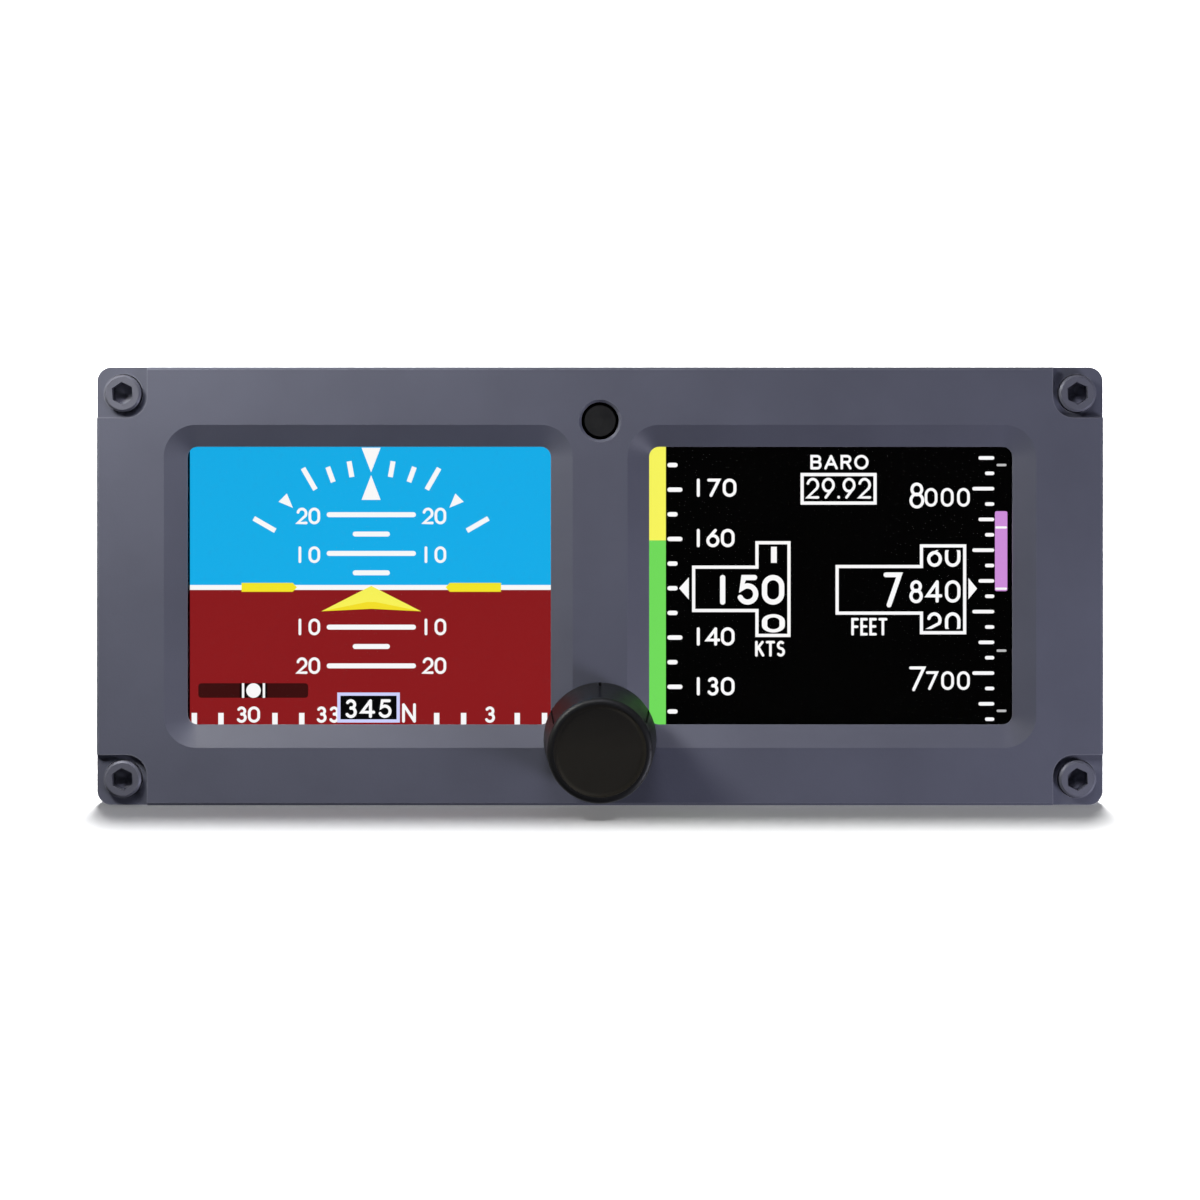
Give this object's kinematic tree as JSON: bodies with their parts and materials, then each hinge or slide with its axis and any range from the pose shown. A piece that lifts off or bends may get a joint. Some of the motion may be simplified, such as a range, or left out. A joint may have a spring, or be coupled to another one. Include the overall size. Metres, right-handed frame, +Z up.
{
  "type": "attitude indicator",
  "caption": "Panel-mounted standby attitude indicator with side-by-side displays, a push-and-turn knob, a light sensor, rear air ports and a data connector.",
  "frame": {"origin": "centre of the bezel's rear mounting face, where it rests on the instrument panel", "axes": "+X to the pilot's right, +Y back behind the panel, +Z up"},
  "size_m": [0.1396, 0.1326, 0.0608],
  "materials": {
    "bezel_paint": "satin slate paint",
    "case_paint": "black hard-anodised, satin",
    "screw_steel": "satin",
    "dark_screws": "black oxide, satin",
    "cover_glass": "clear, gloss",
    "foam": "matt",
    "display": "gloss black",
    "light_guide": "translucent white",
    "tray_metal": "bright",
    "flex_film": "satin film",
    "circuit_board": "solder mask",
    "chips": "moulded, matt",
    "sensor_window": "smoked, satin",
    "knob_plastic": "black, satin",
    "shaft_steel": "bright",
    "nut_nickel": "nickel plated",
    "encoder_plastic": "moulded, matt",
    "encoder_zinc": "die cast, matt",
    "connector_moulding": "moulded, matt",
    "gold_contacts": "gold plated",
    "blue_anodised": "blue anodised",
    "plain_aluminium": "machined",
    "sensor_board": "solder mask",
    "hose_rubber": "matt",
    "cell_wrap": "shrink wrap over a steel can",
    "cradle_plastic": "moulded, matt"
  },
  "bodies": {
    "housing": {"backlight_left": "light_guide", "backlight_right": "light_guide", "battery_cells": "cell_wrap", "battery_cradle": "cradle_plastic", "bezel": "bezel_paint", "board_lead": "flex_film", "case_screws": "dark_screws", "chassis": "case_paint", "connector_insulator": "connector_moulding", "connector_jack_posts": "nut_nickel", "connector_pins": "gold_contacts", "connector_shell": "nut_nickel", "detent_spring": "shaft_steel", "display_board": "circuit_board", "display_board_parts": "chips", "display_board_screws": "dark_screws", "display_cell_left": "display", "display_cell_right": "display", "display_flex_left": "flex_film", "display_flex_right": "flex_film", "display_tray_left": "tray_metal", "display_tray_right": "tray_metal", "encoder_back_plate": "encoder_plastic", "encoder_housing": "encoder_zinc", "encoder_nut": "nut_nickel", "encoder_washer": "nut_nickel", "floor_standoffs": "plain_aluminium", "ground_nut": "nut_nickel", "ground_stud": "nut_nickel", "inertial_block": "plain_aluminium", "inertial_lid": "plain_aluminium", "inertial_sensor": "sensor_board", "main_board": "circuit_board", "main_board_parts": "chips", "mounting_screws": "screw_steel", "pitot_fitting": "blue_anodised", "pitot_hose": "hose_rubber", "pitot_transducer": "chips", "port_nuts": "plain_aluminium", "power_board": "circuit_board", "power_board_parts": "chips", "push_dome": "shaft_steel", "rear_panel": "case_paint", "sensor_lens": "sensor_window", "stack_screws": "dark_screws", "stack_standoffs": "plain_aluminium", "static_fitting": "blue_anodised", "static_hose": "hose_rubber", "static_transducer": "chips", "top_cover": "case_paint", "window_gasket_left": "foam", "window_gasket_right": "foam", "window_glass_left": "cover_glass", "window_glass_right": "cover_glass"},
    "encoder_rotor": {"detent_wheel": "encoder_plastic"},
    "knob": {"knob_body": "knob_plastic", "knob_cap": "knob_plastic", "knob_set_screw": "dark_screws", "knob_shaft": "shaft_steel"}
  },
  "joints": [
    {"name": "knob_turn", "type": "hinge", "parent": "housing", "child": "encoder_rotor", "pos_m": [0, 0, -0.021], "axis": [0, 1, 0], "continuous": true},
    {"name": "knob_push", "type": "slide", "parent": "encoder_rotor", "child": "knob", "axis": [0, 1, 0], "range_m": [0, 0.0005], "stiffness_N_per_m": 3000, "springref_m": -0.0003}
  ]
}
